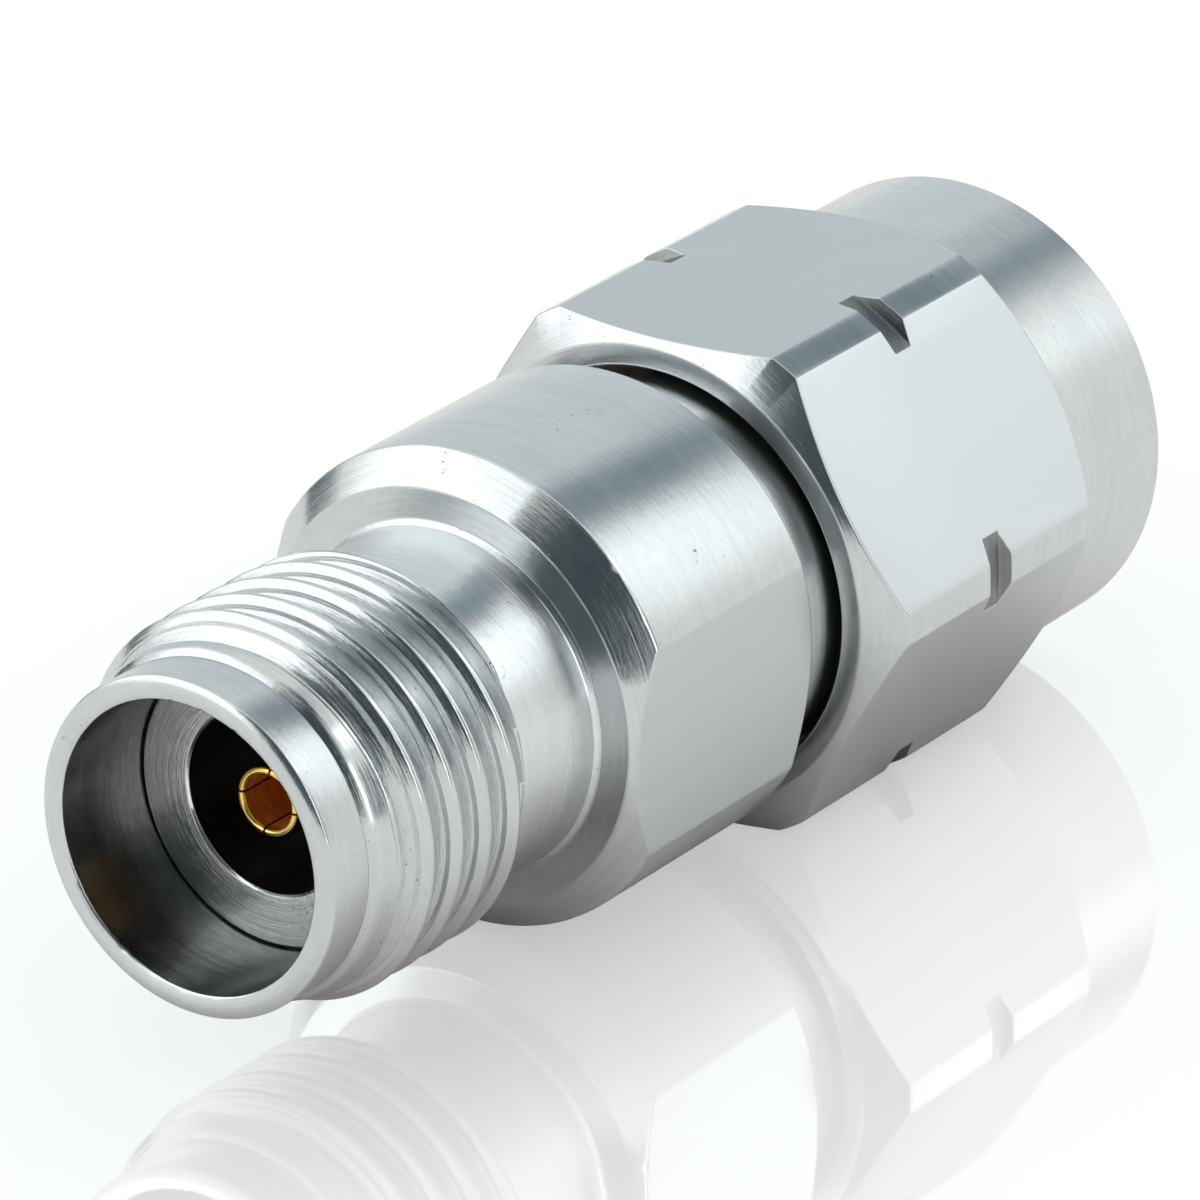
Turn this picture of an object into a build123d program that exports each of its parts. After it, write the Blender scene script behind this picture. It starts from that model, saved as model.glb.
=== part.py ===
from build123d import *
import os
from math import tan, radians

# Coaxial adapter, socket end to plug end, lying on one flat of its coupling nut.
# Sizes are in millimetres. Lengths run along the axis, from the socket's mouth to the nut's front.

# Air line: the conductors that both ends share
line_bore_d = 2.92          # bore of the outer conductor
line_rod_d = 1.27           # centre conductor
bore_chamfer = 0.07         # edge break where the bore opens on a reference plane

# Socket end: mouth, nose and outside thread
counterbore_d = 4.66        # receives the mating plug's ferrule
counterbore_depth = 1.94    # mouth to the reference plane
mouth_chamfer = 0.03
land_d = 4.50               # ring of the reference plane that touches the mating ferrule
land_relief = 0.15          # groove round the land, into the corner of the counterbore
nose_d = 5.40
nose_length = 0.90
lip_chamfer = 0.03
thread_d = 6.30             # crest of the outside thread
thread_length = 3.58        # lead chamfer included
thread_run_out = 0.12
neck_d = 5.45
neck_length = 1.97
neck_fillet = 0.08

# Body with two wrench flats
body_d = 7.80
body_length = 4.75
body_front_chamfer = 0.50
body_rear_chamfer = 0.45
wrench_flats = 7.00         # across the two flats
body_roll = 4.0             # degrees that the flats are turned from upright

# Plug shell: spigot in the body, shoulder under the nut, ferrule
spigot_d = 5.10
spigot_length = 2.80
spigot_end_gap = 0.10       # free length behind the spigot
shoulder_d = 6.60
shoulder_length = 4.20
shoulder_chamfer = 0.20
ferrule_d = 4.60
ferrule_length = 2.40
ferrule_chamfer = 0.08

# Dielectric beads and the sleeve between them
bead_d = 4.00
bead_length = 1.20
bead_hole_d = 0.90          # neck of the centre conductor inside a bead
socket_line_length = 3.06   # reference plane to the bead, socket end
plug_line_length = 4.20     # reference plane to the bead, plug end
fit_gap = 0.01              # radial gap of a part pushed into its seat

# Contacts
socket_hole_d = 0.86        # fingers closed in to grip the 0.927 pin
socket_hole_depth = 2.30
socket_tip_chamfer = 0.07
socket_mouth_chamfer = 0.04
socket_recess = 0.02        # tip behind the reference plane
slot_width = 0.06
slot_depth = 1.70
slot_count = 4
slot_roll = 8.0             # degrees from upright to the first slot
stud_length = 1.00          # threaded end of a contact inside the centre rod
stud_end_gap = 0.10
pin_d = 0.927
pin_length = 1.60           # beyond the reference plane
pin_taper_length = 0.45
pin_tip_d = 0.36
pin_recess = 0.03           # pin's shoulder behind the reference plane

# Snap ring that holds the nut on the shoulder
ring_d = 7.24               # outside
ring_width = 0.50           # along the axis
ring_height = 0.54          # across the section
ring_opening = 30.0         # degrees left open
ring_centre = 2.28          # from the body's rear face
ring_side_gap = 0.05        # each side, in the nut's groove
ring_outer_gap = 0.06       # to the floor of the nut's groove
ring_inner_gap = 0.10       # to the floor of the shoulder's groove
nut_float = 0.20            # travel of nut and ring, each way

# Coupling nut
nut_flats = 8.00            # across the hexagon's flats
nut_corner_d = 8.96         # hexagon's corners turned down
nut_gap = 0.75              # body's rear face to the nut
nut_face_d = 7.68           # flat rear face of the nut
nut_rear_angle = 30.0       # of the rear chamfer, from the face
hex_length = 5.54           # nut's rear face to where its corners end
hex_front_angle = 45.0
nut_bore_d = 6.90           # clears the shoulder
nut_bore_depth = 3.90
nut_bore_chamfer = 0.06
sleeve_d = 7.70
nut_length = 8.65
sleeve_chamfer = 0.10
nut_thread_d = 5.70         # crest of the inside thread
nut_relief_d = 6.50         # clears the thread's root
nut_relief_length = 0.75
nut_mouth_chamfer = 0.35
notch_centre = 3.00         # groove across the corners, from the nut's rear face
notch_floor_d = 8.60
notch_floor_width = 0.40
notch_side_angle = 30.0     # of each side, from a plane across the axis

# Places along the axis
socket_plane_x = counterbore_depth
thread_end_x = nose_length + thread_length
body_x = thread_end_x + neck_length
body_end_x = body_x + body_length
spigot_x = body_end_x - spigot_length
shoulder_end_x = body_end_x + shoulder_length
plug_plane_x = shoulder_end_x + ferrule_length
nut_x = body_end_x + nut_gap
nut_end_x = nut_x + nut_length
ring_x = body_end_x + ring_centre
socket_bead_x = socket_plane_x + socket_line_length
plug_bead_end_x = plug_plane_x - plug_line_length
rod_x = socket_bead_x + bead_length
rod_end_x = plug_bead_end_x - bead_length


def turned(outline):
    """Turn a closed outline of (place along the axis, radius) points about the X axis."""
    points = [(x, 0, radius) for x, radius in outline]
    return revolve(make_face(Polyline(*points, close=True)), Axis.X)


def bar(length, across, x):
    """A block along X that starts at x, with its centre line on the axis."""
    return Pos(x, 0, 0) * Box(length, across[0], across[1], align=(Align.MIN, Align.CENTER, Align.CENTER))


def jack_shell():
    """Outer conductor of the socket end, with the outside thread and the body in one turned piece."""
    lead = (thread_d - nose_d) / 2
    outside = [
        (0, counterbore_d / 2 + mouth_chamfer),
        (0, nose_d / 2 - lip_chamfer),
        (lip_chamfer, nose_d / 2),
        (nose_length, nose_d / 2),
        (nose_length + lead, thread_d / 2),
        (thread_end_x - thread_run_out, thread_d / 2),
        (thread_end_x, thread_d / 2 - thread_run_out),
        (thread_end_x, neck_d / 2),
        (body_x - neck_fillet, neck_d / 2),
        (body_x, neck_d / 2 + neck_fillet),
        (body_x, body_d / 2 - body_front_chamfer),
        (body_x + body_front_chamfer, body_d / 2),
        (body_end_x - body_rear_chamfer, body_d / 2),
        (body_end_x, body_d / 2 - body_rear_chamfer),
    ]
    spigot_seat = spigot_d / 2 + fit_gap
    bead_seat = bead_d / 2 + fit_gap
    inside = [
        (body_end_x, spigot_seat),
        (spigot_x - spigot_end_gap, spigot_seat),
        (spigot_x - spigot_end_gap, bead_seat),
        (socket_bead_x, bead_seat),
        (socket_bead_x, line_bore_d / 2),
        (socket_plane_x + bore_chamfer, line_bore_d / 2),
        (socket_plane_x, line_bore_d / 2 + bore_chamfer),
        (socket_plane_x, land_d / 2),
        (socket_plane_x + land_relief, land_d / 2),
        (socket_plane_x + land_relief, counterbore_d / 2),
        (mouth_chamfer, counterbore_d / 2),
    ]
    shell = turned(outside + inside)
    keep = bar(body_length, (wrench_flats, body_d), body_x)
    front = turned([(0, 0), (0, body_d), (body_x, body_d), (body_x, 0)])
    return Rot(X=body_roll) * (shell & (keep + front))


def plug_shell():
    """Outer conductor of the plug end: spigot, shoulder with the ring's groove, and ferrule."""
    groove_floor = ring_d / 2 - ring_height - ring_inner_gap
    groove_half = ring_width / 2 + nut_float + ring_side_gap
    bead_seat = bead_d / 2 + fit_gap
    return turned([
        (spigot_x, bead_seat),
        (spigot_x, spigot_d / 2),
        (body_end_x, spigot_d / 2),
        (body_end_x, shoulder_d / 2),
        (ring_x - groove_half, shoulder_d / 2),
        (ring_x - groove_half, groove_floor),
        (ring_x + groove_half, groove_floor),
        (ring_x + groove_half, shoulder_d / 2),
        (shoulder_end_x - shoulder_chamfer, shoulder_d / 2),
        (shoulder_end_x, shoulder_d / 2 - shoulder_chamfer),
        (shoulder_end_x, ferrule_d / 2),
        (plug_plane_x - ferrule_chamfer, ferrule_d / 2),
        (plug_plane_x, ferrule_d / 2 - ferrule_chamfer),
        (plug_plane_x, line_bore_d / 2 + bore_chamfer),
        (plug_plane_x - bore_chamfer, line_bore_d / 2),
        (plug_bead_end_x, line_bore_d / 2),
        (plug_bead_end_x, bead_seat),
    ])


def bead_sleeve():
    """Sleeve that keeps the two beads apart and carries the line's bore between them."""
    return turned([
        (rod_x, line_bore_d / 2),
        (rod_x, bead_d / 2),
        (rod_end_x, bead_d / 2),
        (rod_end_x, line_bore_d / 2),
    ])


def bead(x):
    """Dielectric bead that centres the conductor, starting at x."""
    hole = bead_hole_d / 2 + fit_gap
    return turned([
        (x, hole),
        (x, bead_d / 2),
        (x + bead_length, bead_d / 2),
        (x + bead_length, hole),
    ])


def socket_contact():
    """Slotted socket of the centre conductor, with its stud through the bead."""
    tip_x = socket_plane_x + socket_recess
    contact = turned([
        (tip_x + socket_mouth_chamfer, socket_hole_d / 2),
        (tip_x, socket_hole_d / 2 + socket_mouth_chamfer),
        (tip_x, line_rod_d / 2 - socket_tip_chamfer),
        (tip_x + socket_tip_chamfer, line_rod_d / 2),
        (socket_bead_x, line_rod_d / 2),
        (socket_bead_x, bead_hole_d / 2),
        (rod_x + stud_length, bead_hole_d / 2),
        (rod_x + stud_length, 0),
        (tip_x + socket_hole_depth, 0),
        (tip_x + socket_hole_depth, socket_hole_d / 2),
    ])
    blade = Pos(0, 0, line_rod_d / 2) * bar(slot_depth, (slot_width, line_rod_d), tip_x)
    for number in range(slot_count):
        contact -= Rot(X=slot_roll + number * 360 / slot_count) * blade
    return contact


def centre_rod():
    """Middle of the centre conductor, bored at both ends for the contacts' studs."""
    hole = bead_hole_d / 2 + fit_gap
    depth = stud_length + stud_end_gap
    return turned([
        (rod_x + depth, 0),
        (rod_x + depth, hole),
        (rod_x, hole),
        (rod_x, line_rod_d / 2),
        (rod_end_x, line_rod_d / 2),
        (rod_end_x, hole),
        (rod_end_x - depth, hole),
        (rod_end_x - depth, 0),
    ])


def pin_contact():
    """Pin of the centre conductor, with its stud through the bead."""
    pin_x = plug_plane_x - pin_recess
    pin_end_x = plug_plane_x + pin_length
    return turned([
        (rod_end_x - stud_length, 0),
        (rod_end_x - stud_length, bead_hole_d / 2),
        (plug_bead_end_x, bead_hole_d / 2),
        (plug_bead_end_x, line_rod_d / 2),
        (pin_x, line_rod_d / 2),
        (pin_x, pin_d / 2),
        (pin_end_x - pin_taper_length, pin_d / 2),
        (pin_end_x, pin_tip_d / 2),
        (pin_end_x, 0),
    ])


def snap_ring():
    """Open ring, half in the nut's groove and half in the shoulder's."""
    ring = turned([
        (ring_x - ring_width / 2, ring_d / 2 - ring_height),
        (ring_x - ring_width / 2, ring_d / 2),
        (ring_x + ring_width / 2, ring_d / 2),
        (ring_x + ring_width / 2, ring_d / 2 - ring_height),
    ])
    reach = ring_d * tan(radians(ring_opening / 2))
    wedge = make_face(Polyline((0, 0, 0), (0, -reach, ring_d), (0, reach, ring_d), close=True))
    return ring - Pos(ring_x - ring_width, 0, 0) * extrude(wedge, amount=2 * ring_width, dir=(1, 0, 0))


def nut_outside():
    """The nut's outside as turned, before the hexagon is milled."""
    corner = nut_corner_d / 2
    floor = notch_floor_d / 2
    rear_rise = (corner - nut_face_d / 2) * tan(radians(nut_rear_angle))
    front_fall = (corner - sleeve_d / 2) / tan(radians(hex_front_angle))
    notch_x = nut_x + notch_centre
    floor_half = notch_floor_width / 2
    top_half = floor_half + (corner - floor) * tan(radians(notch_side_angle))
    hex_end_x = nut_x + hex_length
    return [
        (nut_x, nut_face_d / 2),
        (nut_x + rear_rise, corner),
        (notch_x - top_half, corner),
        (notch_x - floor_half, floor),
        (notch_x + floor_half, floor),
        (notch_x + top_half, corner),
        (hex_end_x, corner),
        (hex_end_x + front_fall, sleeve_d / 2),
        (nut_end_x - sleeve_chamfer, sleeve_d / 2),
        (nut_end_x, sleeve_d / 2 - sleeve_chamfer),
    ]


def nut_inside():
    """The nut's inside from its front: thread, relief, clearance bore and the ring's groove."""
    groove_floor = ring_d / 2 + ring_outer_gap
    groove_half = ring_width / 2 + ring_side_gap
    bore_end_x = nut_x + nut_bore_depth
    return [
        (nut_end_x, nut_thread_d / 2 + nut_mouth_chamfer),
        (nut_end_x - nut_mouth_chamfer, nut_thread_d / 2),
        (bore_end_x + nut_relief_length, nut_thread_d / 2),
        (bore_end_x + nut_relief_length, nut_relief_d / 2),
        (bore_end_x, nut_relief_d / 2),
        (bore_end_x, nut_bore_d / 2),
        (ring_x + groove_half, nut_bore_d / 2),
        (ring_x + groove_half, groove_floor),
        (ring_x - groove_half, groove_floor),
        (ring_x - groove_half, nut_bore_d / 2),
        (nut_x + nut_bore_chamfer, nut_bore_d / 2),
        (nut_x, nut_bore_d / 2 + nut_bore_chamfer),
    ]


def coupling_nut():
    """Hexagon nut with a plain sleeve, a groove across its corners and an inside thread."""
    blank = turned(nut_outside() + nut_inside())
    hexagon = Plane.YZ * RegularPolygon(nut_flats / 2, 6, major_radius=False)
    return blank & Pos(nut_x, 0, 0) * extrude(hexagon, amount=nut_length)


def place(piece):
    """Move a piece from the mouth-at-zero drawing to the finished frame, with the nut's lower flat at Z 0."""
    return Pos(-nut_end_x / 2, 0, nut_flats / 2) * piece


pieces = {
    "jack_shell": jack_shell(),
    "plug_shell": plug_shell(),
    "bead_sleeve": bead_sleeve(),
    "jack_bead": bead(socket_bead_x),
    "plug_bead": bead(rod_end_x),
    "socket_contact": socket_contact(),
    "centre_rod": centre_rod(),
    "pin_contact": pin_contact(),
    "snap_ring": snap_ring(),
    "coupling_nut": coupling_nut(),
}

os.makedirs("parts", exist_ok=True)
for name, piece in pieces.items():
    export_step(place(piece), f"parts/{name}.step")
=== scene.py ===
import math
import bpy
import bmesh
from mathutils import Matrix, Vector


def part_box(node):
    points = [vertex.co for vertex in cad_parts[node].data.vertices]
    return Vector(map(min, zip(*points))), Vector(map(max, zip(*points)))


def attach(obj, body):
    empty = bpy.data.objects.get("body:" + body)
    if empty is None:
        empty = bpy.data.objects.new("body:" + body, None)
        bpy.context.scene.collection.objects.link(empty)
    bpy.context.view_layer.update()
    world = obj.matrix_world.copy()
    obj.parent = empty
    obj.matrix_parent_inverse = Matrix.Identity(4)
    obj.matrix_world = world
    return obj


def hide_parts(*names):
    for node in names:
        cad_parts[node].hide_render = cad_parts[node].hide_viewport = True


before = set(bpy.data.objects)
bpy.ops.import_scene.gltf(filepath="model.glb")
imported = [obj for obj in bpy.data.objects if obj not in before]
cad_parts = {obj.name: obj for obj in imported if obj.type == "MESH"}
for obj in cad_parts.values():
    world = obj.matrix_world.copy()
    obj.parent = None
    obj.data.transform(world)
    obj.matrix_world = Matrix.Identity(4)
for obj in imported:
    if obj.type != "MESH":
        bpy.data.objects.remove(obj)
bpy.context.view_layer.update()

mm = 0.001
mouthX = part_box("jack_shell")[0].x
bodyEndX = (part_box("jack_shell")[1].x - mouthX) / mm
nutLow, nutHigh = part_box("coupling_nut")
axisZ = (nutLow.z + nutHigh.z) / 2
nutStartX = (nutLow.x - mouthX) / mm
nutEndX = (nutHigh.x - mouthX) / mm
print("frame loaded, overall length", round((nutHigh.x - mouthX) / mm, 2), "mm")


# Turned pieces
# A section is a list of (place along the axis, radius, edge break, surface), in mm from the socket's mouth

def softCorners(corners, steps=3, sideShare=0.4):
    # a break takes at most sideShare of each side that it cuts
    points = []
    count = len(corners)
    for i, (x, r, edge, surface) in enumerate(corners):
        here = Vector((x, r))
        before, after = Vector(corners[i - 1][:2]), Vector(corners[(i + 1) % count][:2])
        cutBack = min(edge, sideShare * (before - here).length)
        cutOn = min(edge, sideShare * (after - here).length)
        start = here + (before - here).normalized() * cutBack
        end = here + (after - here).normalized() * cutOn
        for step in range(steps):
            t = step / (steps - 1)
            spot = start * (1 - t) ** 2 + here * (2 * t * (1 - t)) + end * t ** 2
            points.append((spot.x, spot.y, surface))
    return points


def softer(first, second, width):
    # the smaller of two radii, with the corner between them broken
    return 0.5 * (first + second - math.sqrt((first - second) ** 2 + width ** 2))


def cutSlits(piece, slits):
    # thin blades across the axis, each from one place to another and turned by so many degrees
    blades = []
    for start, end, width, reach, degree in slits:
        mesh = bmesh.new()
        bmesh.ops.create_cube(mesh, size=1.0)
        shape = Matrix.Diagonal(((end - start) * mm, width * mm, 2 * reach * mm, 1))
        place = Matrix.Translation((mouthX + (start + end) / 2 * mm, 0, axisZ))
        bmesh.ops.transform(mesh, verts=mesh.verts,
                            matrix=place @ Matrix.Rotation(math.radians(degree), 4, "X") @ shape)
        data = bpy.data.meshes.new("blade")
        mesh.to_mesh(data)
        mesh.free()
        blade = bpy.data.objects.new("blade", data)
        bpy.context.scene.collection.objects.link(blade)
        cut = piece.modifiers.new("slit", "BOOLEAN")
        cut.solver = "EXACT"
        cut.operation = "DIFFERENCE"
        cut.object = blade
        blades.append(blade)
    graph = bpy.context.evaluated_depsgraph_get()
    piece.data = bpy.data.meshes.new_from_object(piece.evaluated_get(graph))
    piece.modifiers.clear()
    for blade in blades:
        bpy.data.meshes.remove(blade.data)


# a turned piece is made round its own Z axis, which the spindle lays along the part's axis
spindle = Matrix(((0, 0, 1, mouthX), (1, 0, 0, 0), (0, 1, 0, axisZ), (0, 0, 0, 1)))
weldGap = 3e-7
sliverEdge = 2e-7


def spin(name, sectionAt, degrees, finishes, body, nodes, slits=()):
    columns = []
    mesh = bmesh.new()
    for degree in degrees:
        angle = math.radians(degree)
        cosine, sine = math.cos(angle), math.sin(angle)
        column = []
        for x, r, surface in sectionAt(degree):
            spot = (r * mm * cosine, r * mm * sine, x * mm)
            column.append((mesh.verts.new(spot), surface))
        columns.append(column)
    names = list(finishes)
    for column, nextColumn in zip(columns, columns[1:]):
        for i in range(len(column)):
            j = (i + 1) % len(column)
            corners = (column[i][0], nextColumn[i][0], nextColumn[j][0], column[j][0])
            face = mesh.faces.new(corners)
            face.smooth = True
            kind = column[i][1] if column[i][1] == nextColumn[i][1] else names[0]
            face.material_index = names.index(kind)
    bmesh.ops.remove_doubles(mesh, verts=mesh.verts, dist=weldGap)
    bmesh.ops.dissolve_degenerate(mesh, edges=mesh.edges, dist=sliverEdge)
    bmesh.ops.recalc_face_normals(mesh, faces=mesh.faces)
    for edge in mesh.edges:
        if len(set(face.material_index for face in edge.link_faces)) > 1:
            edge.smooth = False
    data = bpy.data.meshes.new(name)
    mesh.to_mesh(data)
    mesh.free()
    piece = bpy.data.objects.new(name, data)
    piece.matrix_world = spindle
    bpy.context.scene.collection.objects.link(piece)
    for finish in finishes.values():
        data.materials.append(finish)
    if slits:
        cutSlits(piece, slits)
    shade = piece.modifiers.new("evenShading", "WEIGHTED_NORMAL")
    shade.keep_sharp = True
    shade.weight = 90
    shade.thresh = 0.0
    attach(piece, body)
    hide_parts(*nodes)
    print(name, len(piece.data.polygons), "faces")
    return piece


def fullTurn(count, extras=()):
    degrees = [360 * i / count for i in range(count + 1)] + list(extras)
    return sorted(set(round(degree, 4) for degree in degrees))


# Shader writing

class Wire:
    def __init__(self, finish, socket):
        self.finish = finish
        self.socket = socket

    def maths(self, operation, first, second=0.0):
        return self.finish.node("ShaderNodeMath", {"operation": operation}, {0: first, 1: second})

    def __add__(self, other):
        return self.maths("ADD", self, other)

    def __radd__(self, other):
        return self.maths("ADD", other, self)

    def __sub__(self, other):
        return self.maths("SUBTRACT", self, other)

    def __rsub__(self, other):
        return self.maths("SUBTRACT", other, self)

    def __mul__(self, other):
        return self.maths("MULTIPLY", self, other)

    def __rmul__(self, other):
        return self.maths("MULTIPLY", other, self)

    def __truediv__(self, other):
        return self.maths("DIVIDE", self, other)

    def __rtruediv__(self, other):
        return self.maths("DIVIDE", other, self)


class Finish:
    def __init__(self, name):
        self.material = bpy.data.materials.new(name)
        self.material.use_nodes = True
        self.tree = self.material.node_tree
        self.tree.nodes.clear()
        self.end = self.tree.nodes.new("ShaderNodeOutputMaterial")

    def node(self, kind, settings=None, inputs=None, output=0):
        made = self.tree.nodes.new(kind)
        for key, value in (settings or {}).items():
            if key == "stops":
                self.setStops(made, value)
            else:
                setattr(made, key, value)
        for key, value in (inputs or {}).items():
            if isinstance(value, Wire):
                self.tree.links.new(value.socket, made.inputs[key])
            else:
                made.inputs[key].default_value = value
        return Wire(self, made.outputs[output])

    def setStops(self, ramp, stops):
        elements = ramp.color_ramp.elements
        while len(elements) < len(stops):
            elements.new(0.5)
        for element, (place, value) in zip(elements, stops):
            element.position = place
            element.color = (value, value, value, 1)

    def blend(self, factor, first, second):
        return self.node("ShaderNodeMix", {"data_type": "RGBA"},
                         {"Factor": factor, 6: first, 7: second}, output=2)

    def close(self, shader):
        self.tree.links.new(shader.socket, self.end.inputs["Surface"])
        return self.material


def metalMetrics(finish):
    # place along the axis and distance from it in mm, and the direction round it, for a piece
    # that is made round its own Z
    coords = finish.node("ShaderNodeTexCoord", output="Object")
    split = finish.node("ShaderNodeSeparateXYZ", {}, {0: coords})
    node = split.socket.node
    x = Wire(finish, node.outputs["Z"]) * 1000
    y = Wire(finish, node.outputs["X"]) * 1000
    z = Wire(finish, node.outputs["Y"]) * 1000
    reach = finish.node("ShaderNodeMath", {"operation": "SQRT"}, {0: y * y + z * z}) + 0.001
    return x, reach, y / reach, z / reach


def turningNoise(finish, metrics, perMm, perTurn, detail=2.0, rough=0.6):
    # streaks that run round the axis: fine along the section, slow round the turn
    x, reach, cosine, sine = metrics
    spot = finish.node("ShaderNodeCombineXYZ", {}, {0: x * perMm, 1: reach * perMm, 2: cosine * perTurn})
    return finish.node("ShaderNodeTexNoise", {"noise_dimensions": "4D"},
                       {"Vector": spot, "W": sine * perTurn, "Scale": 1.0, "Detail": detail,
                        "Roughness": rough})


def ramp(finish, value, *stops):
    return finish.node("ShaderNodeValToRGB", {"stops": stops}, {0: value})


steel = {
    "light": (0.645, 0.665, 0.665, 1), "dark": (0.545, 0.572, 0.58, 1), "pit": (0.17, 0.18, 0.185, 1),
    "fineMarks": 15.0, "fineTurn": 1.3, "broadMarks": 4.0, "broadTurn": 0.5,
    "grainMarks": 7.5, "grainTurn": 13.0, "grainDepth": 0.6, "cloudMarks": 1.3, "cloudTurn": 2.6,
    "speckMarks": 10.0, "speckTurn": 26.0, "speckStart": 0.655, "speckEdge": 0.03, "speckDepth": 0.35,
    "patchMarks": 0.9, "patchTurn": 3.5, "patchStart": 0.50, "patchEnd": 0.60,
    "toneStart": 0.36, "toneEnd": 0.60,
    "bump": 0.5, "bumpDepth": 0.000011, "roughness": 0.20, "roughSpread": 0.10,
    "stretch": 0.8, "stretchTurn": 0.25,
}


def turnedSteel(name, look):
    finish = Finish(name)
    metrics = metalMetrics(finish)
    fine = turningNoise(finish, metrics, look["fineMarks"], look["fineTurn"], 4.0, 0.7)
    broad = turningNoise(finish, metrics, look["broadMarks"], look["broadTurn"], 2.0, 0.5)
    grain = turningNoise(finish, metrics, look["grainMarks"], look["grainTurn"], 3.0, 0.65)
    cloud = turningNoise(finish, metrics, look["cloudMarks"], look["cloudTurn"], 3.0, 0.6)
    specks = turningNoise(finish, metrics, look["speckMarks"], look["speckTurn"], 3.0, 0.75)
    patches = turningNoise(finish, metrics, look["patchMarks"], look["patchTurn"], 2.0, 0.5)
    speckEnd = look["speckStart"] + look["speckEdge"]
    specks = ramp(finish, specks, (0.0, 0.0), (look["speckStart"], 0.0), (speckEnd, 1.0))
    specks = specks * ramp(finish, patches, (0.0, 0.0), (look["patchStart"], 0.0), (look["patchEnd"], 0.9))
    marks = fine * 0.45 + broad * 0.2 + grain * 0.35
    tone = marks * 0.8 + cloud * 0.2
    tone = ramp(finish, tone, (0.0, 0.0), (look["toneStart"], 0.0), (look["toneEnd"], 1.0))
    colour = finish.blend(tone, look["dark"], look["light"])
    colour = finish.blend(specks, colour, look["pit"])
    roughness = cloud * look["roughSpread"] + (look["roughness"] - look["roughSpread"] / 2)
    height = fine * 0.6 + broad * 0.3 + grain * look["grainDepth"] - specks * look["speckDepth"]
    bump = finish.node("ShaderNodeBump", {}, {"Strength": look["bump"],
                       "Distance": look["bumpDepth"], "Height": height})
    shader = finish.node("ShaderNodeBsdfPrincipled", {}, {
        "Base Color": colour, "Metallic": 1.0, "Roughness": roughness, "Normal": bump,
        "Anisotropic": look["stretch"], "Anisotropic Rotation": look["stretchTurn"]})
    return finish.close(shader)


milled = {
    "light": (0.58, 0.605, 0.61, 1), "dark": (0.545, 0.572, 0.58, 1), "roughness": 0.2,
    "grain": 30000.0, "grainStretch": 0.08, "cloud": 700.0, "roughSpread": 0.06,
    "bump": 0.12, "bumpDepth": 0.000002,
}


def milledSteel(name, look):
    # the cutter's fine marks run over the flats at right angles to the part's axis
    finish = Finish(name)
    coords = finish.node("ShaderNodeTexCoord", output="Object")
    stretch = look["grainStretch"]
    grainSpot = finish.node("ShaderNodeMapping", {}, {0: coords, "Scale": (stretch, stretch, 1.0)})
    grain = finish.node("ShaderNodeTexNoise", {}, {"Vector": grainSpot,
                        "Scale": look["grain"], "Detail": 2.0})
    cloud = finish.node("ShaderNodeTexNoise", {}, {"Vector": coords, "Scale": look["cloud"], "Detail": 3.0})
    colour = finish.blend(cloud * 0.7 + grain * 0.3, look["dark"], look["light"])
    roughness = cloud * look["roughSpread"] + look["roughness"]
    bump = finish.node("ShaderNodeBump", {}, {"Strength": look["bump"],
                       "Distance": look["bumpDepth"], "Height": grain})
    shader = finish.node("ShaderNodeBsdfPrincipled", {}, {
        "Base Color": colour, "Metallic": 1.0, "Roughness": roughness, "Normal": bump})
    return finish.close(shader)


plating = {
    "perTurn": 0.9, "toneStart": 0.3, "toneEnd": 0.65, "bump": 0.25, "bumpDepth": 0.000002,
    "roughSpread": 0.12,
}


def plated(name, light, dark, roughness, marksPerMm=26.0):
    finish = Finish(name)
    metrics = metalMetrics(finish)
    marks = turningNoise(finish, metrics, marksPerMm, plating["perTurn"], 2.0, 0.6)
    tone = ramp(finish, marks, (plating["toneStart"], 0.0), (plating["toneEnd"], 1.0))
    colour = finish.blend(tone, dark, light)
    bump = finish.node("ShaderNodeBump", {}, {"Strength": plating["bump"],
                       "Distance": plating["bumpDepth"], "Height": marks})
    shader = finish.node("ShaderNodeBsdfPrincipled", {}, {
        "Base Color": colour, "Metallic": 1.0, "Roughness": marks * plating["roughSpread"] + roughness,
        "Normal": bump})
    return finish.close(shader)


moulding = {"mottle": 2400.0, "bump": 0.2, "bumpDepth": 0.00001, "roughness": 0.35, "roughSpread": 0.2}


def moulded(name, light, dark):
    finish = Finish(name)
    coords = finish.node("ShaderNodeTexCoord", output="Object")
    mottle = finish.node("ShaderNodeTexNoise", {}, {
        "Vector": coords, "Scale": moulding["mottle"], "Detail": 4.0})
    colour = finish.blend(mottle, dark, light)
    bump = finish.node("ShaderNodeBump", {}, {"Strength": moulding["bump"],
                       "Distance": moulding["bumpDepth"], "Height": mottle})
    shader = finish.node("ShaderNodeBsdfPrincipled", {}, {
        "Base Color": colour, "Roughness": mottle * moulding["roughSpread"] + moulding["roughness"],
        "Normal": bump})
    return finish.close(shader)


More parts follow.
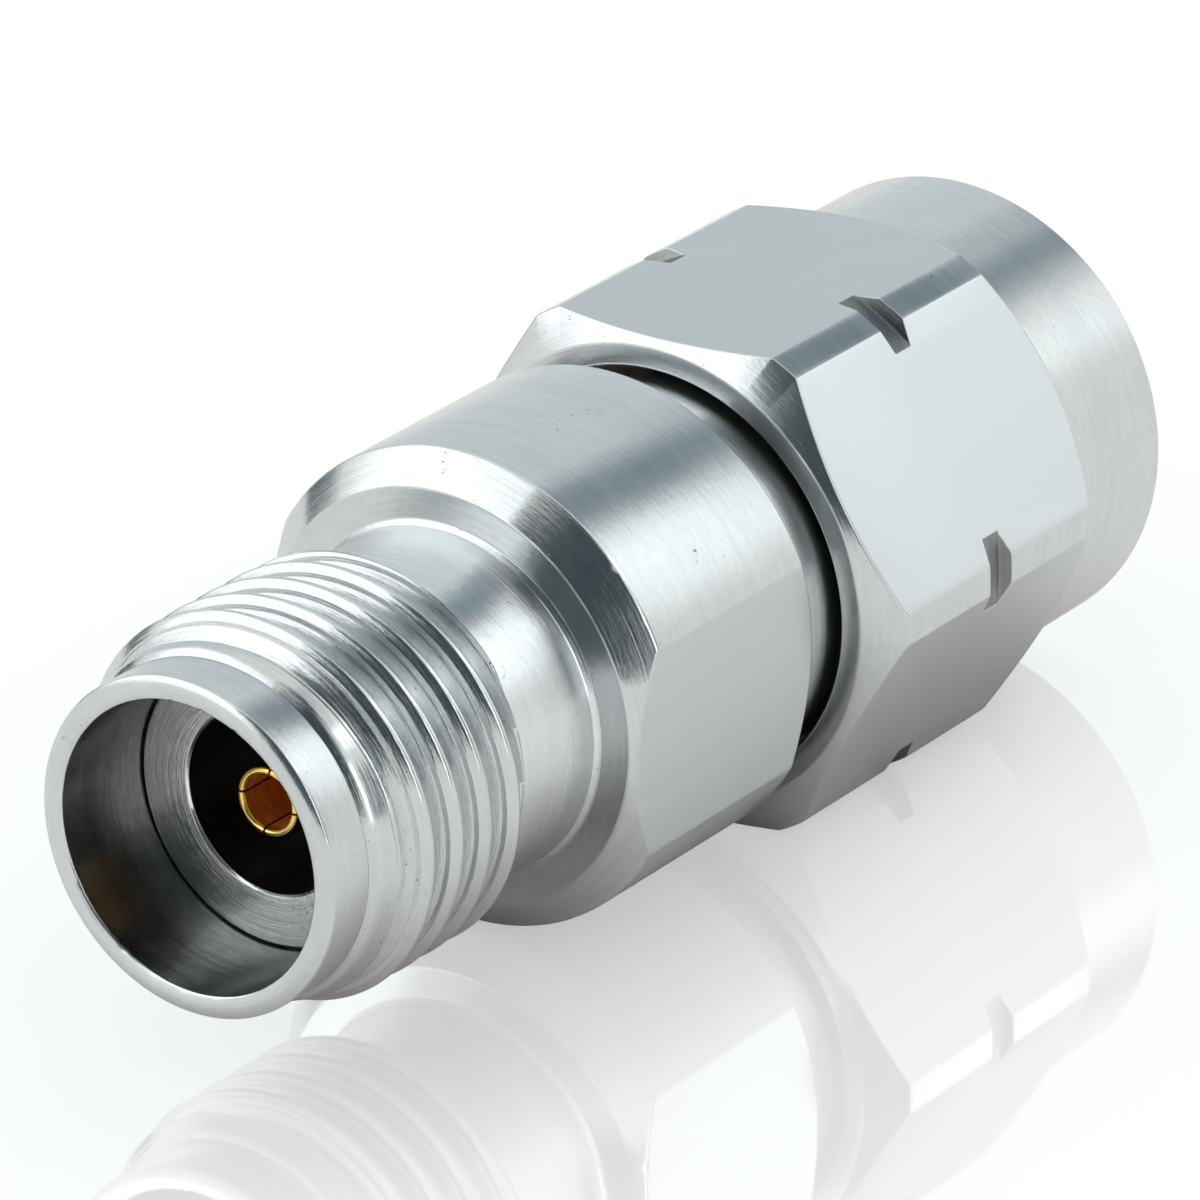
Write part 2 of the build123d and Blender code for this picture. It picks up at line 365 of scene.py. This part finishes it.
bodySteel = turnedSteel("bodySteel", steel)
threadSteel = turnedSteel("threadSteel", {
    **steel, "fineMarks": 19.0, "grainDepth": 0.2, "bumpDepth": 0.000024, "roughness": 0.15, "stretch": 0.4})
boredSteel = turnedSteel("boredSteel", {
    **steel, "light": (0.66, 0.67, 0.66, 1), "dark": (0.46, 0.475, 0.475, 1), "speckStart": 0.63,
    "fineMarks": 14.0, "grainDepth": 0.12, "bumpDepth": 0.00006, "roughness": 0.24})
# painted shade: the counterbore wall and the bore behind the land are the body's steel painted much darker,
# for the shade inside the socket
paintedShadeWallSteel = turnedSteel("paintedShadeWallSteel", {
    **steel, "light": (0.33, 0.335, 0.34, 1), "dark": (0.19, 0.195, 0.20, 1), "roughness": 0.21})
# painted highlight: the neck is the body's steel painted lighter, for the bright reflections along it
paintedHighlightNeckSteel = turnedSteel("paintedHighlightNeckSteel", {
    **steel, "light": (0.735, 0.76, 0.765, 1), "dark": (0.63, 0.655, 0.665, 1)})
# painted highlight: the chamfer round the bore's edge is the body's steel painted near white, for the bright
# line it shows
paintedHighlightRimSteel = turnedSteel("paintedHighlightRimSteel", {
    **steel, "light": (0.86, 0.87, 0.86, 1), "dark": (0.76, 0.77, 0.77, 1),
    "roughness": 0.10, "roughSpread": 0.04, "stretch": 0.0})
facedSteel = turnedSteel("facedSteel", {
    **steel, "fineMarks": 21.0, "broadMarks": 7.0, "grainDepth": 0.15, "bumpDepth": 0.000022,
    "roughness": 0.16})
nutSteel = turnedSteel("nutSteel", {**steel, "bump": 0.4, "roughness": 0.17})
# painted shade: the groove round the nut is the nut's steel painted dark, for the shade in it
paintedShadeNotchSteel = turnedSteel("paintedShadeNotchSteel", {
    **steel, "light": (0.27, 0.28, 0.28, 1), "dark": (0.16, 0.165, 0.17, 1),
    "roughness": 0.24, "stretch": 0.0})
flatSteel = milledSteel("flatSteel", milled)
nutFlatSteel = milledSteel("nutFlatSteel", {**milled, "roughness": 0.22})
goldPlate = plated("goldPlate", (1.0, 0.78, 0.24, 1), (0.86, 0.56, 0.12, 1), 0.14)
# painted shade: the contact's hole is its gold plating painted darker and browner, for the shade inside it,
# with a rougher finish
paintedShadeGoldBore = plated("paintedShadeGoldBore", (0.95, 0.50, 0.12, 1), (0.80, 0.34, 0.07, 1), 0.55, 9.0)
brassTurned = plated("brassTurned", (0.78, 0.62, 0.34, 1), (0.66, 0.50, 0.26, 1), 0.25)
springBronze = plated("springBronze", (0.70, 0.50, 0.30, 1), (0.55, 0.38, 0.21, 1), 0.25)
beadPlastic = moulded("beadPlastic", (0.07, 0.062, 0.055, 1), (0.035, 0.032, 0.03, 1))
print("finishes made")


# Socket end with its thread and body

jackShell = {
    "counterbore": 2.33, "counterboreDepth": 1.94, "land": 2.285, "landRelief": 0.15,
    "bore": 1.46, "boreChamfer": 0.045,
    "nose": 2.70, "noseLength": 0.90, "noseRelief": 0.04, "mouthBreak": 0.02,
    "lipTop": 2.50, "lipDrop": 0.075, "lipInside": 0.09, "lipOutside": 0.10,
    "crest": 3.15, "threadEnd": 4.48, "threadRunOut": 0.12, "pitch": 25.4 / 36,
    "crestWidth": 0.10, "crestRound": 0.048, "rootWidth": 0.12, "rootRound": 0.04, "rootRadius": 2.72,
    "ridge": 0.032, "ridgeEdge": 0.012, "ridgeShape": ((0.53, 0.2), (0.60, -1.0), (0.68, 0.6), (0.76, 0.0)),
    "threadTurn": -131.0, "outlineStep": 0.035,
    "leadRise": 0.10, "leadSlope": 0.30, "leadEnd": 0.75, "leadEdge": 0.03, "runOutEdge": 0.02,
    "neck": 2.725, "neckStart": 0.05, "neckFillet": 0.08, "neckTaper": 0.08, "neckEdge": 0.02,
    "taperStart": 5.5, "taperEdge": 0.25,
    "bodyStart": 6.45, "body": 3.90, "frontChamfer": 0.50, "rearChamfer": 0.45,
    "flat": 3.50, "flatTurn": 4.0, "flatEdge": 0.006, "leastCosine": 0.2,
    "spigotSeat": 2.56, "spigotSeatStart": 8.30, "beadSeat": 2.01, "beadSeatStart": 5.00,
    "edge": 0.035, "smallEdge": 0.015, "columns": 210, "lipNick": 0.02, "bodyNick": 0.05,
}
# how far before its edge a milled surface starts, in mm
hair = 0.0005


def threadOutline(spec):
    # one pitch of the thread from the middle of a root, as (along, radius), with its edges rounded
    # ridgeShape has the faint second ridge of its flanks, by share of the flank and of the ridge
    pitch = spec["pitch"]
    root, crest = spec["rootWidth"] / 2, spec["crestWidth"]
    slope = (pitch - crest - 2 * root) / 2
    low, high = spec["rootRadius"], spec["crest"]
    rise = [(root, low, spec["rootRound"], "")]
    for share, proud in spec["ridgeShape"]:
        place = low + (high - low) * share + proud * spec["ridge"]
        rise.append((root + slope * share, place, spec["ridgeEdge"], ""))
    rise.append((root + slope, high, spec["crestRound"], ""))
    fall = [(pitch - x, r, edge, "") for x, r, edge, kind in reversed(rise)]
    corners = rise + fall
    before = [(x - pitch, r, edge, kind) for x, r, edge, kind in corners]
    after = [(x + pitch, r, edge, kind) for x, r, edge, kind in corners]
    steps = 5
    rounded = softCorners(before + corners + after, steps)[steps * len(corners):2 * steps * len(corners) + 1]
    outline = []
    for (x, r, kind), (nextX, nextR, nextKind) in zip(rounded, rounded[1:]):
        parts = max(1, round((nextX - x) / spec["outlineStep"]))
        for part in range(parts):
            outline.append((x + (nextX - x) * part / parts, r + (nextR - r) * part / parts))
    return outline


threadShape = threadOutline(jackShell)


def threadRadius(along):
    # the thread's radius at a place in one pitch, for where the nose or the neck cuts it off
    pitch = jackShell["pitch"]
    along = threadShape[0][0] + (along - threadShape[0][0]) % pitch
    following = threadShape[1:] + [(threadShape[0][0] + pitch, threadShape[0][1])]
    for (x, r), (nextX, nextR) in zip(threadShape, following):
        if x <= along <= nextX and nextX > x:
            return r + (nextR - r) * (along - x) / (nextX - x)
    return threadShape[-1][1]


def leadRadius(spec, along):
    # a steep break, then a nearly plain run over the first turn, then the chamfer up to the crest
    shelf = spec["nose"] + spec["leadRise"] + (along - spec["leadRise"]) * spec["leadSlope"]
    chamfer = spec["crest"] - (spec["leadEnd"] - along)
    return max(softer(spec["nose"] + along, shelf, spec["leadEdge"]), chamfer)


def threadPoints(spec, degree):
    # one column of the outside thread, cut by the lead chamfer and the rear one
    start, end = spec["noseLength"], spec["threadEnd"]
    pitch = spec["pitch"]
    shift = pitch * (degree - spec["threadTurn"]) / 360
    points = []
    for turnNumber in range(-2, int((end - start) / pitch) + 2):
        for along, radius in threadShape:
            x = start + turnNumber * pitch + along + shift
            if x < start or x > end:
                x = min(max(x, start), end)
                radius = threadRadius(x - start - shift)
            lead = leadRadius(spec, x - start)
            rear = spec["crest"] - spec["threadRunOut"] + (end - x)
            r = softer(softer(radius, lead, spec["leadEdge"]), rear, spec["runOutEdge"])
            points.append((x, r, "thread"))
    return points


def nick(degree, place, depth):
    # small dents that come and go along an edge
    degree = degree % 360
    wave = math.sin(1.7 * degree + place) + math.sin(4.1 * degree + 2.3 * place)
    wave += math.sin(9.7 * degree + 5 * place)
    return depth * max(0.0, wave - 1.5)


def jackSection(degree):
    # the lip's corners lie at shares of its drop
    s = jackShell
    offset = (degree - s["flatTurn"] + 90) % 180 - 90
    flat = s["flat"] / max(math.cos(math.radians(offset)), s["leastCosine"])
    bodyRadius = softer(s["body"], flat, s["flatEdge"])
    front = s["bodyStart"] + s["frontChamfer"] - (s["body"] - bodyRadius)
    rear = bodyEndX - s["rearChamfer"] + (s["body"] - bodyRadius)
    onFlat = "milled" if flat < s["body"] + hair else "turned"
    e, small = s["edge"], s["smallEdge"]
    firstHalf = [
        (s["lipDrop"] * 0.5, s["counterbore"] + s["mouthBreak"] + nick(degree, 1, s["lipNick"]), small,
         "turned"),
        (s["lipDrop"] * 0.15, s["counterbore"] + s["lipInside"], e, "turned"),
        (0, s["lipTop"], e, "turned"),
        (s["lipDrop"] * 0.25, s["nose"] - s["lipOutside"], e, "turned"),
        (s["lipDrop"], s["nose"], e, "turned"),
        (s["noseLength"] - s["noseRelief"], s["nose"], small, "turned"),
    ]
    rearHalf = [
        # painted highlight: the neck surfaces take the lighter-painted steel
        (s["threadEnd"], s["neck"], s["neckEdge"], "neck"),
        (s["threadEnd"] + s["neckStart"], s["neck"], 0.5 * s["neckEdge"], "neck"),
        (s["taperStart"], s["neck"], s["taperEdge"], "neck"),
        (s["bodyStart"] - s["neckFillet"], s["neck"] + s["neckTaper"], s["neckEdge"], "neck"),
        (s["bodyStart"], s["neck"] + s["neckTaper"] + s["neckFillet"], 1.5 * s["neckEdge"], "turned"),
        (s["bodyStart"], s["body"] - s["frontChamfer"], e, "faced"),
        (front, bodyRadius, e + nick(degree, 2, s["bodyNick"]), onFlat),
        (rear, bodyRadius, e, "turned"),
        (bodyEndX, s["body"] - s["rearChamfer"], e, "turned"),
        (bodyEndX, s["spigotSeat"], e, "turned"),
        (s["spigotSeatStart"], s["spigotSeat"], small, "turned"),
        (s["spigotSeatStart"], s["beadSeat"], small, "turned"),
        (s["beadSeatStart"], s["beadSeat"], small, "turned"),
        # painted shade on the bore behind the land
        (s["beadSeatStart"], s["bore"], small, "wall"),
        # painted highlight on the bore's edge chamfer
        (s["counterboreDepth"] + s["boreChamfer"], s["bore"], small, "rim"),
        (s["counterboreDepth"], s["bore"] + s["boreChamfer"], small, "bored"),
        (s["counterboreDepth"], s["land"], small, "bored"),
        (s["counterboreDepth"] + s["landRelief"], s["land"], small, "bored"),
        # painted shade on the counterbore wall
        (s["counterboreDepth"] + s["landRelief"], s["counterbore"], small, "wall"),
        (s["lipDrop"] * 0.5 + s["mouthBreak"], s["counterbore"], small, "turned"),
    ]
    corners = softCorners(firstHalf + rearHalf, 4)
    split = 4 * len(firstHalf)
    return corners[:split] + threadPoints(s, degree) + corners[split:]


flatReach = math.degrees(math.acos(jackShell["flat"] / jackShell["body"]))
flatEnds = [(jackShell["flatTurn"] + side + sign * (flatReach + step)) % 360
            for side in (0, 180) for sign in (-1, 1) for step in (-0.4, 0, 0.4)]
# the wall finish is painted shade; the rim and neck finishes are painted highlight
jackTurned = spin("jackTurned", jackSection, fullTurn(jackShell["columns"], flatEnds),
                  {"turned": bodySteel, "milled": flatSteel, "bored": boredSteel, "wall": paintedShadeWallSteel,
                   "faced": facedSteel, "thread": threadSteel, "rim": paintedHighlightRimSteel, "neck": paintedHighlightNeckSteel},
                  "body", ["jack_shell"])


# Coupling nut: a turned blank with its hexagon milled

couplingNut = {
    "flat": 4.0, "corner": 4.48, "cornerEdge": 0.006, "face": 3.84, "rearAngle": 30.0,
    "hexLength": 5.54, "frontAngle": 45.0, "sleeve": 3.85, "sleeveChamfer": 0.10,
    "notchPlace": 3.00, "notchFloor": 4.30, "notchFloorWidth": 0.40, "notchAngle": 30.0,
    "notchWiden": 0.002,
    "bore": 3.45, "boreDepth": 3.90, "boreChamfer": 0.06, "ringGroove": 3.68, "ringPlace": 13.48,
    "ringGrooveHalf": 0.30, "relief": 3.25, "reliefLength": 0.75,
    "threadCrest": 2.85, "threadRoot": 3.19, "mouthChamfer": 0.35, "pitch": 25.4 / 36,
    "crestWidth": 0.12, "rootWidth": 0.09, "threadTurn": 0.0,
    "edge": 0.03, "smallEdge": 0.015,
}


def hexReach(degree):
    offset = degree % 60 - 30
    return couplingNut["flat"] / math.cos(math.radians(offset))


def nutThreadPoints(spec, degree):
    # one column of the inside thread from the front to the relief, widened at the mouth
    start, end = nutStartX + spec["boreDepth"] + spec["reliefLength"], nutEndX
    pitch = spec["pitch"]
    crestWidth, rootWidth = spec["crestWidth"], spec["rootWidth"]
    slope = (pitch - crestWidth - rootWidth) / 2
    outline = [(0, 0), (crestWidth, 0), (crestWidth + slope, 1), (crestWidth + slope + rootWidth, 1)]
    middle = crestWidth + slope + rootWidth / 2
    shift = (end - start - middle) % pitch + pitch * (degree - spec["threadTurn"]) / 360 - pitch
    points = []
    for turnNumber in range(int((end - start) / pitch) + 3, -2, -1):
        for part in (3, 2, 1, 0):
            along, height = outline[part]
            following = outline[part + 1] if part < 3 else (pitch, 0)
            for share in (0.75, 0.5, 0.25, 0.0):
                x = start + (turnNumber - 1) * pitch + shift
                x += along + (following[0] - along) * share
                level = height + (following[1] - height) * share
                x = min(max(x, start), end)
                r = spec["threadCrest"] + (spec["threadRoot"] - spec["threadCrest"]) * level
                mouth = spec["threadCrest"] + spec["mouthChamfer"] - (end - x)
                points.append((x, max(r, mouth), "turned"))
    return points


def nutSection(degree):
    s = couplingNut
    limit = softer(hexReach(degree), s["corner"], s["cornerEdge"])
    onFlat = "milled" if hexReach(degree) < s["corner"] + hair else "turned"
    rear = nutStartX + (limit - s["face"]) * math.tan(math.radians(s["rearAngle"]))
    front = nutStartX + s["hexLength"] + (s["corner"] - limit) / math.tan(math.radians(s["frontAngle"]))
    frontEnd = nutStartX + s["hexLength"] + (s["corner"] - s["sleeve"])
    notch = nutStartX + s["notchPlace"]
    floorHalf = s["notchFloorWidth"] / 2
    dip = min(s["notchFloor"], limit)
    topHalf = floorHalf + (limit - dip) * math.tan(math.radians(s["notchAngle"])) + s["notchWiden"]
    ring = s["ringPlace"]
    e, small = s["edge"], s["smallEdge"]
    # painted shade: where the groove is cut, its faces take the darkened steel
    notchPaintedShadeKind = "notch" if limit > s["notchFloor"] + hair else onFlat
    outside = [
        (nutStartX, s["bore"] + s["boreChamfer"], small, "turned"),
        (nutStartX, s["face"], e, "turned"),
        (rear, limit, e, onFlat),
        (notch - topHalf, limit, small, notchPaintedShadeKind),
        (notch - floorHalf, dip, small, notchPaintedShadeKind),
        (notch + floorHalf, dip, small, notchPaintedShadeKind),
        (notch + topHalf, limit, small, onFlat),
        (front, limit, e, "turned"),
        (frontEnd, s["sleeve"], e, "turned"),
        (nutEndX - s["sleeveChamfer"], s["sleeve"], e, "turned"),
        (nutEndX, s["sleeve"] - s["sleeveChamfer"], e, "turned"),
    ]
    threadStart = nutStartX + s["boreDepth"] + s["reliefLength"]
    inside = [
        (threadStart, s["relief"], small, "turned"),
        (nutStartX + s["boreDepth"], s["relief"], small, "turned"),
        (nutStartX + s["boreDepth"], s["bore"], small, "turned"),
        (ring + s["ringGrooveHalf"], s["bore"], small, "turned"),
        (ring + s["ringGrooveHalf"], s["ringGroove"], small, "turned"),
        (ring - s["ringGrooveHalf"], s["ringGroove"], small, "turned"),
        (ring - s["ringGrooveHalf"], s["bore"], small, "turned"),
        (nutStartX + s["boreChamfer"], s["bore"], small, "turned"),
    ]
    corners = softCorners(outside + inside, 4)
    split = 4 * len(outside)
    return corners[:split] + nutThreadPoints(s, degree) + corners[split:]


# degrees from the middle of a flat, closer where the notch and the corner begin
cornerOffset = math.degrees(math.acos(couplingNut["flat"] / couplingNut["corner"]))
notchOffset = math.degrees(math.acos(couplingNut["flat"] / couplingNut["notchFloor"]))
nutOffsets = [0, 2, 4, 6, 8, 10, 12, 14, 16, 18, 20, notchOffset - 0.3, notchOffset, notchOffset + 0.25,
              22.5, 24, 25.2, cornerOffset - 0.35, cornerOffset, cornerOffset + 0.35, 28, 29, 30]
nutDegrees = sorted(set(round((30 + 60 * side + sign * offset) % 360, 4)
                        for side in range(6) for sign in (-1, 1) for offset in nutOffsets))
nutDegrees = [degree for degree in nutDegrees if degree < 359.9999] + [360]
# the notch finish is painted shade
nutMilled = spin("nutMilled", nutSection, nutDegrees,
                 {"turned": nutSteel, "milled": nutFlatSteel, "notch": paintedShadeNotchSteel},
                 "nut", ["coupling_nut"])


# Contacts and the plug shell, all turned

socketContact = {
    "tip": 1.96, "hole": 0.43, "mouth": 0.07, "mouthShare": 0.3, "outer": 0.635, "tipOuter": 0.56,
    "holeDepth": 2.30, "neck": 0.45, "beadStart": 5.00, "studEnd": 7.20, "edge": 0.018,
    "slitWidth": 0.04, "slitDepth": 1.70, "slitTurn": 8.0,
}


def contactSection(degree):
    s = socketContact
    e = s["edge"]
    lead = s["mouthShare"] * s["mouth"]
    return softCorners([
        (s["tip"] + s["mouth"], s["hole"], e, "plated"),
        (s["tip"] + lead, s["hole"] + lead, e, "plated"),
        (s["tip"], s["hole"] + 0.8 * s["mouth"], e, "plated"),
        (s["tip"] + lead, s["tipOuter"] - e, e, "plated"),
        (s["tip"] + s["mouth"], s["tipOuter"], e, "plated"),
        (s["tip"] + s["slitDepth"], s["outer"], e, "plated"),
        (s["beadStart"], s["outer"], e, "plated"),
        (s["beadStart"], s["neck"], e, "plated"),
        (s["studEnd"], s["neck"], e, "plated"),
        (s["studEnd"], 0, 0, "plated"),
        # painted shade: the hole's floor and wall take the darker, browner gold
        (s["tip"] + s["holeDepth"], 0, 0, "bore"),
        (s["tip"] + s["holeDepth"], s["hole"], e, "bore"),
    ], 5)


fingerSlits = [(socketContact["tip"] - 0.5, socketContact["tip"] + socketContact["slitDepth"],
                socketContact["slitWidth"], 1.0, socketContact["slitTurn"] + turn) for turn in (0, 90)]
# the bore finish is painted shade
contactTurned = spin("contactTurned", contactSection, fullTurn(96), {"plated": goldPlate, "bore": paintedShadeGoldBore},
                     "body", ["socket_contact"], fingerSlits)

plugShell = {
    "start": 8.40, "seat": 2.01, "spigot": 2.55, "shoulderStart": 11.20, "shoulder": 3.30,
    "ringGroove": 2.98, "ringPlace": 13.48, "ringGrooveHalf": 0.50, "shoulderEnd": 15.40,
    "shoulderChamfer": 0.20, "ferrule": 2.30, "ferruleChamfer": 0.08, "plane": 17.80,
    "bore": 1.46, "boreChamfer": 0.07, "seatEnd": 13.60, "edge": 0.02,
}


def plugSection(degree):
    s = plugShell
    e = s["edge"]
    ring, half = s["ringPlace"], s["ringGrooveHalf"]
    return softCorners([
        (s["start"], s["seat"], e, "turned"),
        (s["start"], s["spigot"], e, "turned"),
        (s["shoulderStart"], s["spigot"], e, "turned"),
        (s["shoulderStart"], s["shoulder"], e, "turned"),
        (ring - half, s["shoulder"], e, "turned"),
        (ring - half, s["ringGroove"], e, "turned"),
        (ring + half, s["ringGroove"], e, "turned"),
        (ring + half, s["shoulder"], e, "turned"),
        (s["shoulderEnd"] - s["shoulderChamfer"], s["shoulder"], e, "turned"),
        (s["shoulderEnd"], s["shoulder"] - s["shoulderChamfer"], e, "turned"),
        (s["shoulderEnd"], s["ferrule"], e, "turned"),
        (s["plane"] - s["ferruleChamfer"], s["ferrule"], e, "turned"),
        (s["plane"], s["ferrule"] - s["ferruleChamfer"], e, "turned"),
        (s["plane"], s["bore"] + s["boreChamfer"], e, "turned"),
        (s["plane"] - s["boreChamfer"], s["bore"], e, "turned"),
        (s["seatEnd"], s["bore"], e, "turned"),
        (s["seatEnd"], s["seat"], e, "turned"),
    ], 4)


plugTurned = spin("plugTurned", plugSection, fullTurn(192), {"turned": bodySteel},
                  "body", ["plug_shell"])

pinContact = {
    "studStart": 11.40, "neck": 0.45, "beadEnd": 13.60, "line": 0.635, "shoulder": 17.77, "pin": 0.4635,
    "taperStart": 18.95, "end": 19.40, "tip": 0.18, "edge": 0.02, "tipRound": 0.08,
}


def pinSection(degree):
    s = pinContact
    e = s["edge"]
    return softCorners([
        (s["studStart"], 0, 0, "plated"),
        (s["studStart"], s["neck"], e, "plated"),
        (s["beadEnd"], s["neck"], e, "plated"),
        (s["beadEnd"], s["line"], e, "plated"),
        (s["shoulder"], s["line"], e, "plated"),
        (s["shoulder"], s["pin"], e, "plated"),
        (s["taperStart"], s["pin"], s["tipRound"], "plated"),
        (s["end"], s["tip"], s["tipRound"], "plated"),
        (s["end"], 0, 0, "plated"),
    ], 6)


pinTurned = spin("pinTurned", pinSection, fullTurn(96), {"plated": goldPlate},
                 "body", ["pin_contact"])


# Camera at the photograph's place

camera = {
    "lens": 274.75, "sensor": 36.0, "clip": (0.005, 5.0), "place": (-104.845, -76.448, 60.686),
    "right": (0.58106, -0.81359, -0.02095), "up": (0.33599, 0.21636, 0.91668),
}


def makeCamera(spec):
    data = bpy.data.cameras.new("mainCamera")
    data.lens = spec["lens"]
    data.sensor_width = spec["sensor"]
    data.clip_start, data.clip_end = spec["clip"]
    eye = bpy.data.objects.new("mainCamera", data)
    right, up = Vector(spec["right"]).normalized(), Vector(spec["up"])
    up = (up - right * up.dot(right)).normalized()
    turn = Matrix((right, up, right.cross(up))).transposed().to_4x4()
    eye.matrix_world = Matrix.Translation(Vector(spec["place"]) * mm) @ turn
    bpy.context.scene.collection.objects.link(eye)
    bpy.context.scene.camera = eye


makeCamera(camera)


# Studio

studio = {
    "floorReach": 3.0, "floorDrop": 0.00001, "halfLength": 6.0,
    # painted shadow: of the two floor colours, the darker one is what reflections see close under the part
    "floorFar": (0.97, 0.97, 0.97, 1), "floorPaintedShadow": (0.63, 0.61, 0.585, 1),
    "shadeStart": 1.5, "shadeEnd": 8.5, "whiteShare": 0.7, "whiteGlow": 1.1,
    "mirror": 0.37, "mirrorFar": 0.07, "mirrorEnd": 26.0, "floorRoughness": 0.035,
}


def makeFloor(spec):
    data = bpy.data.meshes.new("floor")
    reach = spec["floorReach"]
    data.from_pydata([(-reach, -reach, 0), (reach, -reach, 0), (reach, reach, 0), (-reach, reach, 0)], [],
                     [(0, 1, 2, 3)])
    floor = bpy.data.objects.new("floor", data)
    bpy.context.scene.collection.objects.link(floor)
    floor.location.z = nutLow.z - spec["floorDrop"]
    finish = Finish("floorPaint")
    # distance in mm from a line under the part, halfLength long each way
    split = finish.node("ShaderNodeSeparateXYZ", {}, {0: finish.node("ShaderNodeTexCoord", output="Object")})
    node = split.socket.node
    along = Wire(finish, node.outputs["X"])
    along = along.maths("ABSOLUTE", along) * 1000 - spec["halfLength"]
    along = along.maths("MAXIMUM", along, 0.0)
    across = Wire(finish, node.outputs["Y"]) * 1000
    away = across.maths("SQRT", along * along + across * across)
    # painted shadow: for reflections the floor is painted darker close under the part, fading out between
    # shadeStart and shadeEnd mm; the camera sees the white floor instead
    outOfPaintedShadow = finish.node("ShaderNodeMapRange", {"interpolation_type": "SMOOTHSTEP"},
                       {0: away, 1: spec["shadeStart"], 2: spec["shadeEnd"], 3: 0.0, 4: 1.0})
    shaded = finish.node("ShaderNodeBsdfDiffuse", {}, {
        "Color": finish.blend(outOfPaintedShadow, spec["floorPaintedShadow"], spec["floorFar"])})
    white = finish.node("ShaderNodeBsdfDiffuse", {}, {"Color": (1, 1, 1, 1)})
    glow = finish.node("ShaderNodeEmission", {}, {"Color": (1, 1, 1, 1), "Strength": spec["whiteGlow"]})
    seen = finish.node("ShaderNodeMixShader", {}, {0: spec["whiteShare"], 1: white, 2: glow})
    cameraRay = finish.node("ShaderNodeLightPath", output="Is Camera Ray")
    matt = finish.node("ShaderNodeMixShader", {}, {0: cameraRay, 1: shaded, 2: seen})
    gloss = finish.node("ShaderNodeBsdfAnisotropic", {}, {"Color": (1, 1, 1, 1),
                        "Roughness": spec["floorRoughness"]})
    fade = finish.node("ShaderNodeMapRange", {"interpolation_type": "SMOOTHSTEP"},
                       {0: away, 1: 0.0, 2: spec["mirrorEnd"], 3: spec["mirror"], 4: spec["mirrorFar"]})
    both = finish.node("ShaderNodeMixShader", {}, {0: fade * cameraRay, 1: matt, 2: gloss})
    data.materials.append(finish.close(both))


def direction(azimuth, elevation):
    a, e = math.radians(azimuth), math.radians(elevation)
    return Vector((math.cos(e) * math.cos(a), math.cos(e) * math.sin(a), math.sin(e)))


def studioCard(name, azimuth, elevation, width, height, radiance, softness, tint, reach):
    # a soft-edged card that only reflections see, sized in degrees as seen from the part
    halfWide = reach * math.tan(math.radians(width / 2))
    halfHigh = reach * math.tan(math.radians(height / 2))
    data = bpy.data.meshes.new(name)
    data.from_pydata([(-1, -1, 0), (1, -1, 0), (1, 1, 0), (-1, 1, 0)], [], [(0, 1, 2, 3)])
    card = bpy.data.objects.new(name, data)
    away = direction(azimuth, elevation)
    card.rotation_mode = "QUATERNION"
    card.rotation_quaternion = away.to_track_quat("-Z", "Y")
    card.location = away * reach + Vector((0, 0, axisZ))
    card.scale = (halfWide, halfHigh, 1)
    bpy.context.scene.collection.objects.link(card)
    card.visible_camera = False
    card.visible_shadow = False
    card.visible_diffuse = False
    finish = Finish(name)
    split = finish.node("ShaderNodeSeparateXYZ", {}, {0: finish.node("ShaderNodeTexCoord", output="Object")})
    node = split.socket.node
    masks = []
    for side in ("X", "Y"):
        reachOut = Wire(finish, node.outputs[side])
        masks.append(finish.node("ShaderNodeMapRange", {"interpolation_type": "SMOOTHSTEP"}, {
            0: reachOut.maths("ABSOLUTE", reachOut), 1: 1.0 - softness, 2: 1.0, 3: 1.0, 4: 0.0}))
    glow = finish.node("ShaderNodeEmission", {}, {"Color": tint, "Strength": radiance})
    clear = finish.node("ShaderNodeBsdfTransparent")
    both = finish.node("ShaderNodeMixShader", {}, {0: masks[0] * masks[1], 1: clear, 2: glow})
    data.materials.append(finish.close(both))


def makeWorld():
    world = bpy.data.worlds.new("paleStudio")
    bpy.context.scene.world = world
    world.use_nodes = True
    back = world.node_tree.nodes["Background"]
    back.inputs["Color"].default_value = (1, 1, 1, 1)
    back.inputs["Strength"].default_value = 1.0


coolWhite = (0.955, 0.995, 1.0, 1)
coolGrey = (0.90, 0.98, 1.0, 1)
slate = (0.66, 0.88, 1.0, 1)

makeWorld()
makeFloor(studio)
# azimuth, elevation, width and height in degrees, radiance, softness, tint, distance
studioCard("skyCard", 38, 24, 84, 84, 0.86, 0.3, coolGrey, 0.34)
studioCard("overheadDark", -10, 46, 30, 48, 0.34, 0.75, slate, 0.27)
studioCard("rightSoftBox", -37, 30, 36, 44, 1.58, 0.6, coolWhite, 0.29)
studioCard("leftSoftBox", 139, 37, 84, 50, 1.87, 0.22, coolWhite, 0.31)
studioCard("cameraSideDark", 206, 24, 62, 70, 0.09, 0.15, slate, 0.28)
studioCard("cameraTopDark", 240, 68, 34, 32, 0.12, 0.3, slate, 0.30)
studioCard("crestStrip", -104, 14, 18, 44, 2.6, 0.4, coolWhite, 0.32)
studioCard("leadStrip", -68, 44, 20, 16, 2.4, 0.4, coolWhite, 0.32)
studioCard("frontDark", -72, 14, 24, 34, 0.15, 0.4, slate, 0.32)
studioCard("farSideDark", 6, 20, 26, 24, 0.30, 0.6, slate, 0.28)
studioCard("horizonDark", 82, 1, 24, 24, 0.12, 0.4, slate, 0.30)
bpy.context.scene.view_settings.view_transform = "Standard"
print("studio made")


# Finishes of the pieces that the frame brings

for node, finish in (("bead_sleeve", brassTurned), ("jack_bead", beadPlastic), ("plug_bead", beadPlastic),
                     ("centre_rod", goldPlate), ("snap_ring", springBronze)):
    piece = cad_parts[node]
    for i in range(len(piece.material_slots)):
        piece.material_slots[i].material = finish
